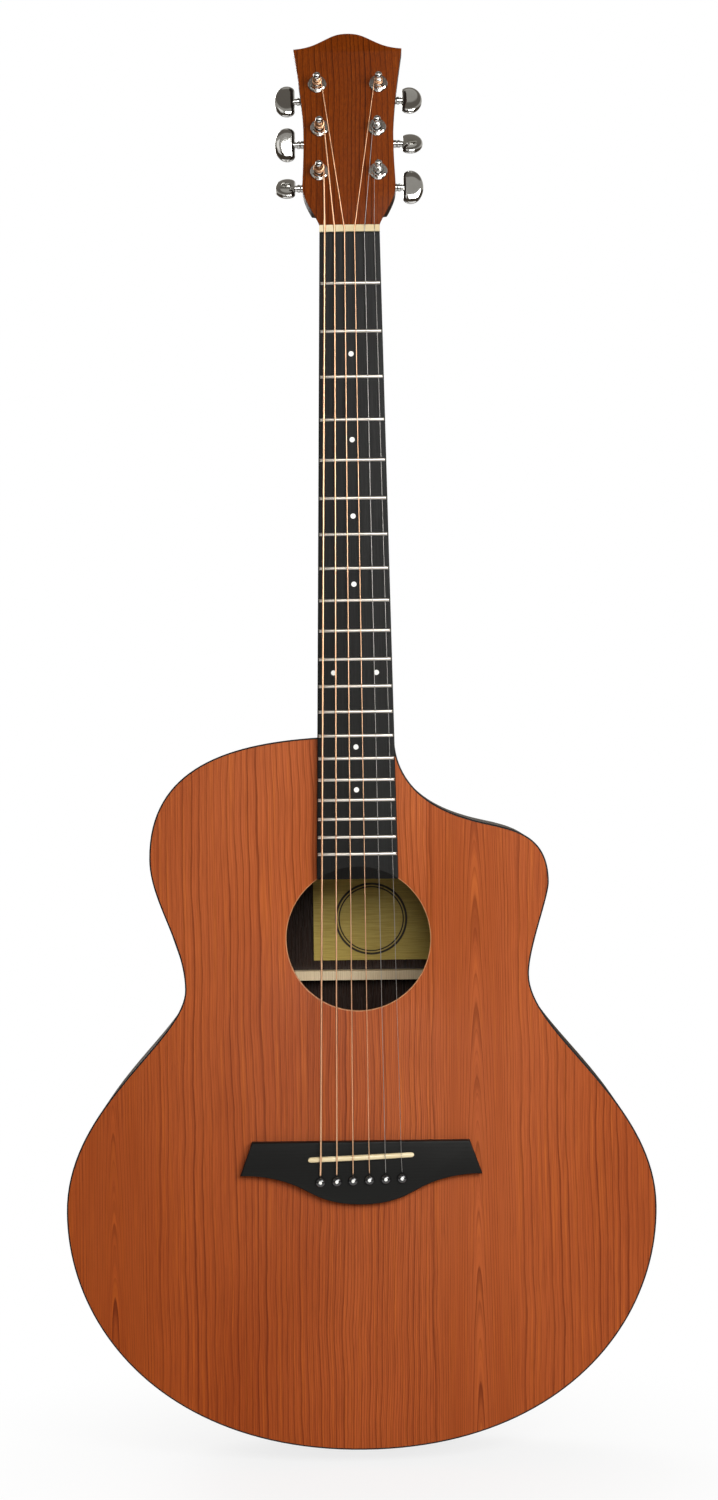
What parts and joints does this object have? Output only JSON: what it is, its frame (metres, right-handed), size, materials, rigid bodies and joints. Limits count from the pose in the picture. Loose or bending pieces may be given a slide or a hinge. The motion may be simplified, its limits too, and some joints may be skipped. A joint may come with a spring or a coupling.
{
  "type": "acoustic-electric guitar",
  "caption": "Steel-string acoustic guitar with one cutaway, cherry top, dark back and sides, side preamp, end-pin jack and geared tuners",
  "frame": {"origin": "centre of the edge where the nut meets the fingerboard, in the plane of the soundboard's face", "axes": "+Z along the strings towards the headstock, -Y out of the soundboard towards the player's view, +X towards the treble side"},
  "size_m": [0.4242, 0.12, 1.035],
  "materials": {
    "cherry_top": "gloss lacquer",
    "head_veneer": "gloss lacquer",
    "dark_body": "gloss lacquer",
    "neck_wood": "satin lacquer",
    "black_wood": "oiled",
    "brace_wood": "bare",
    "black_binding": "gloss",
    "black_plastic": "satin",
    "cream_bone": "polished",
    "chrome": "polished",
    "steel": "bright",
    "bronze_winding": "bright",
    "gold_paper": "printed"
  },
  "bodies": {
    "guitar": {"soundboard": "cherry_top", "headstock_overlay": "head_veneer", "back": "dark_body", "rib_bass": "dark_body", "rib_treble": "dark_body", "neck": "neck_wood", "fingerboard": "black_wood", "bridge": "black_wood", "top_lining": "brace_wood", "back_lining": "brace_wood", "neck_block": "brace_wood", "tail_block": "brace_wood", "top_bracing": "brace_wood", "transverse_brace": "brace_wood", "bridge_plate": "brace_wood", "back_brace_1": "brace_wood", "back_brace_2": "brace_wood", "back_brace_3": "brace_wood", "top_binding": "black_binding", "preamp_housing": "black_plastic", "bridge_pin_1": "black_plastic", "bridge_pin_2": "black_plastic", "bridge_pin_3": "black_plastic", "bridge_pin_4": "black_plastic", "bridge_pin_5": "black_plastic", "bridge_pin_6": "black_plastic", "nut": "cream_bone", "saddle": "cream_bone", "tuner_housing_1": "chrome", "tuner_housing_2": "chrome", "tuner_housing_3": "chrome", "tuner_housing_4": "chrome", "tuner_housing_5": "chrome", "tuner_housing_6": "chrome", "output_jack": "chrome", "truss_rod": "steel", "saddle_pickup": "steel", "string_b": "steel", "string_high_e": "steel", "string_low_e": "bronze_winding", "string_a": "bronze_winding", "string_d": "bronze_winding", "string_g": "bronze_winding", "label": "gold_paper"},
    "key_1": {"tuner_key_1": "chrome"},
    "post_1": {"tuner_post_1": "chrome"},
    "key_2": {"tuner_key_2": "chrome"},
    "post_2": {"tuner_post_2": "chrome"},
    "key_3": {"tuner_key_3": "chrome"},
    "post_3": {"tuner_post_3": "chrome"},
    "key_4": {"tuner_key_4": "chrome"},
    "post_4": {"tuner_post_4": "chrome"},
    "key_5": {"tuner_key_5": "chrome"},
    "post_5": {"tuner_post_5": "chrome"},
    "key_6": {"tuner_key_6": "chrome"},
    "post_6": {"tuner_post_6": "chrome"},
    "knob_volume": {"preamp_knob_volume": "black_plastic"},
    "knob_bass": {"preamp_knob_bass": "black_plastic"},
    "knob_treble": {"preamp_knob_treble": "black_plastic"},
    "door": {"battery_door": "black_plastic"}
  },
  "joints": [
    {"name": "key_turn_1", "type": "hinge", "parent": "guitar", "child": "key_1", "pos_m": [-0.0212, 0.026, 0.03717], "axis": [1, 0, 0], "continuous": true},
    {"name": "post_turn_1", "type": "hinge", "parent": "guitar", "child": "post_1", "pos_m": [-0.0212, 0.00933, 0.04544], "axis": [0, -0.9744, 0.225], "continuous": true},
    {"name": "key_turn_2", "type": "hinge", "parent": "guitar", "child": "key_2", "pos_m": [-0.0207, 0.03365, 0.0703], "axis": [1, 0, 0], "continuous": true},
    {"name": "post_turn_2", "type": "hinge", "parent": "guitar", "child": "post_2", "pos_m": [-0.0207, 0.01698, 0.07856], "axis": [0, -0.9744, 0.225], "continuous": true},
    {"name": "key_turn_3", "type": "hinge", "parent": "guitar", "child": "key_3", "pos_m": [-0.0222, 0.0413, 0.10343], "axis": [1, 0, 0], "continuous": true},
    {"name": "post_turn_3", "type": "hinge", "parent": "guitar", "child": "post_3", "pos_m": [-0.0222, 0.02463, 0.11169], "axis": [0, -0.9744, 0.225], "continuous": true},
    {"name": "key_turn_4", "type": "hinge", "parent": "guitar", "child": "key_4", "pos_m": [0.0222, 0.0413, 0.10343], "axis": [1, 0, 0], "continuous": true},
    {"name": "post_turn_4", "type": "hinge", "parent": "guitar", "child": "post_4", "pos_m": [0.0222, 0.02463, 0.11169], "axis": [0, -0.9744, 0.225], "continuous": true},
    {"name": "key_turn_5", "type": "hinge", "parent": "guitar", "child": "key_5", "pos_m": [0.0207, 0.03365, 0.0703], "axis": [1, 0, 0], "continuous": true},
    {"name": "post_turn_5", "type": "hinge", "parent": "guitar", "child": "post_5", "pos_m": [0.0207, 0.01698, 0.07856], "axis": [0, -0.9744, 0.225], "continuous": true},
    {"name": "key_turn_6", "type": "hinge", "parent": "guitar", "child": "key_6", "pos_m": [0.0212, 0.026, 0.03717], "axis": [1, 0, 0], "continuous": true},
    {"name": "post_turn_6", "type": "hinge", "parent": "guitar", "child": "post_6", "pos_m": [0.0212, 0.00933, 0.04544], "axis": [0, -0.9744, 0.225], "continuous": true},
    {"name": "knob_volume_turn", "type": "hinge", "parent": "guitar", "child": "knob_volume", "pos_m": [-0.14459, 0.0665, -0.47799], "axis": [-0.9474, 0, -0.3201], "range_deg": [-140, 140]},
    {"name": "knob_bass_turn", "type": "hinge", "parent": "guitar", "child": "knob_bass", "pos_m": [-0.13819, 0.0665, -0.49693], "axis": [-0.9474, 0, -0.3201], "range_deg": [-140, 140]},
    {"name": "knob_treble_turn", "type": "hinge", "parent": "guitar", "child": "knob_treble", "pos_m": [-0.13179, 0.0665, -0.51588], "axis": [-0.9474, 0, -0.3201], "range_deg": [-140, 140]},
    {"name": "door_swing", "type": "hinge", "parent": "guitar", "child": "door", "pos_m": [-0.13734, 0.05445, -0.49665], "axis": [0.3201, 0, -0.9474], "range_deg": [0, 95]}
  ],
  "couplings": [
    {"joint": "post_turn_1", "follows": "key_turn_1", "ratio": -0.071429},
    {"joint": "post_turn_2", "follows": "key_turn_2", "ratio": -0.071429},
    {"joint": "post_turn_3", "follows": "key_turn_3", "ratio": -0.071429},
    {"joint": "post_turn_4", "follows": "key_turn_4", "ratio": -0.071429},
    {"joint": "post_turn_5", "follows": "key_turn_5", "ratio": -0.071429},
    {"joint": "post_turn_6", "follows": "key_turn_6", "ratio": -0.071429}
  ]
}
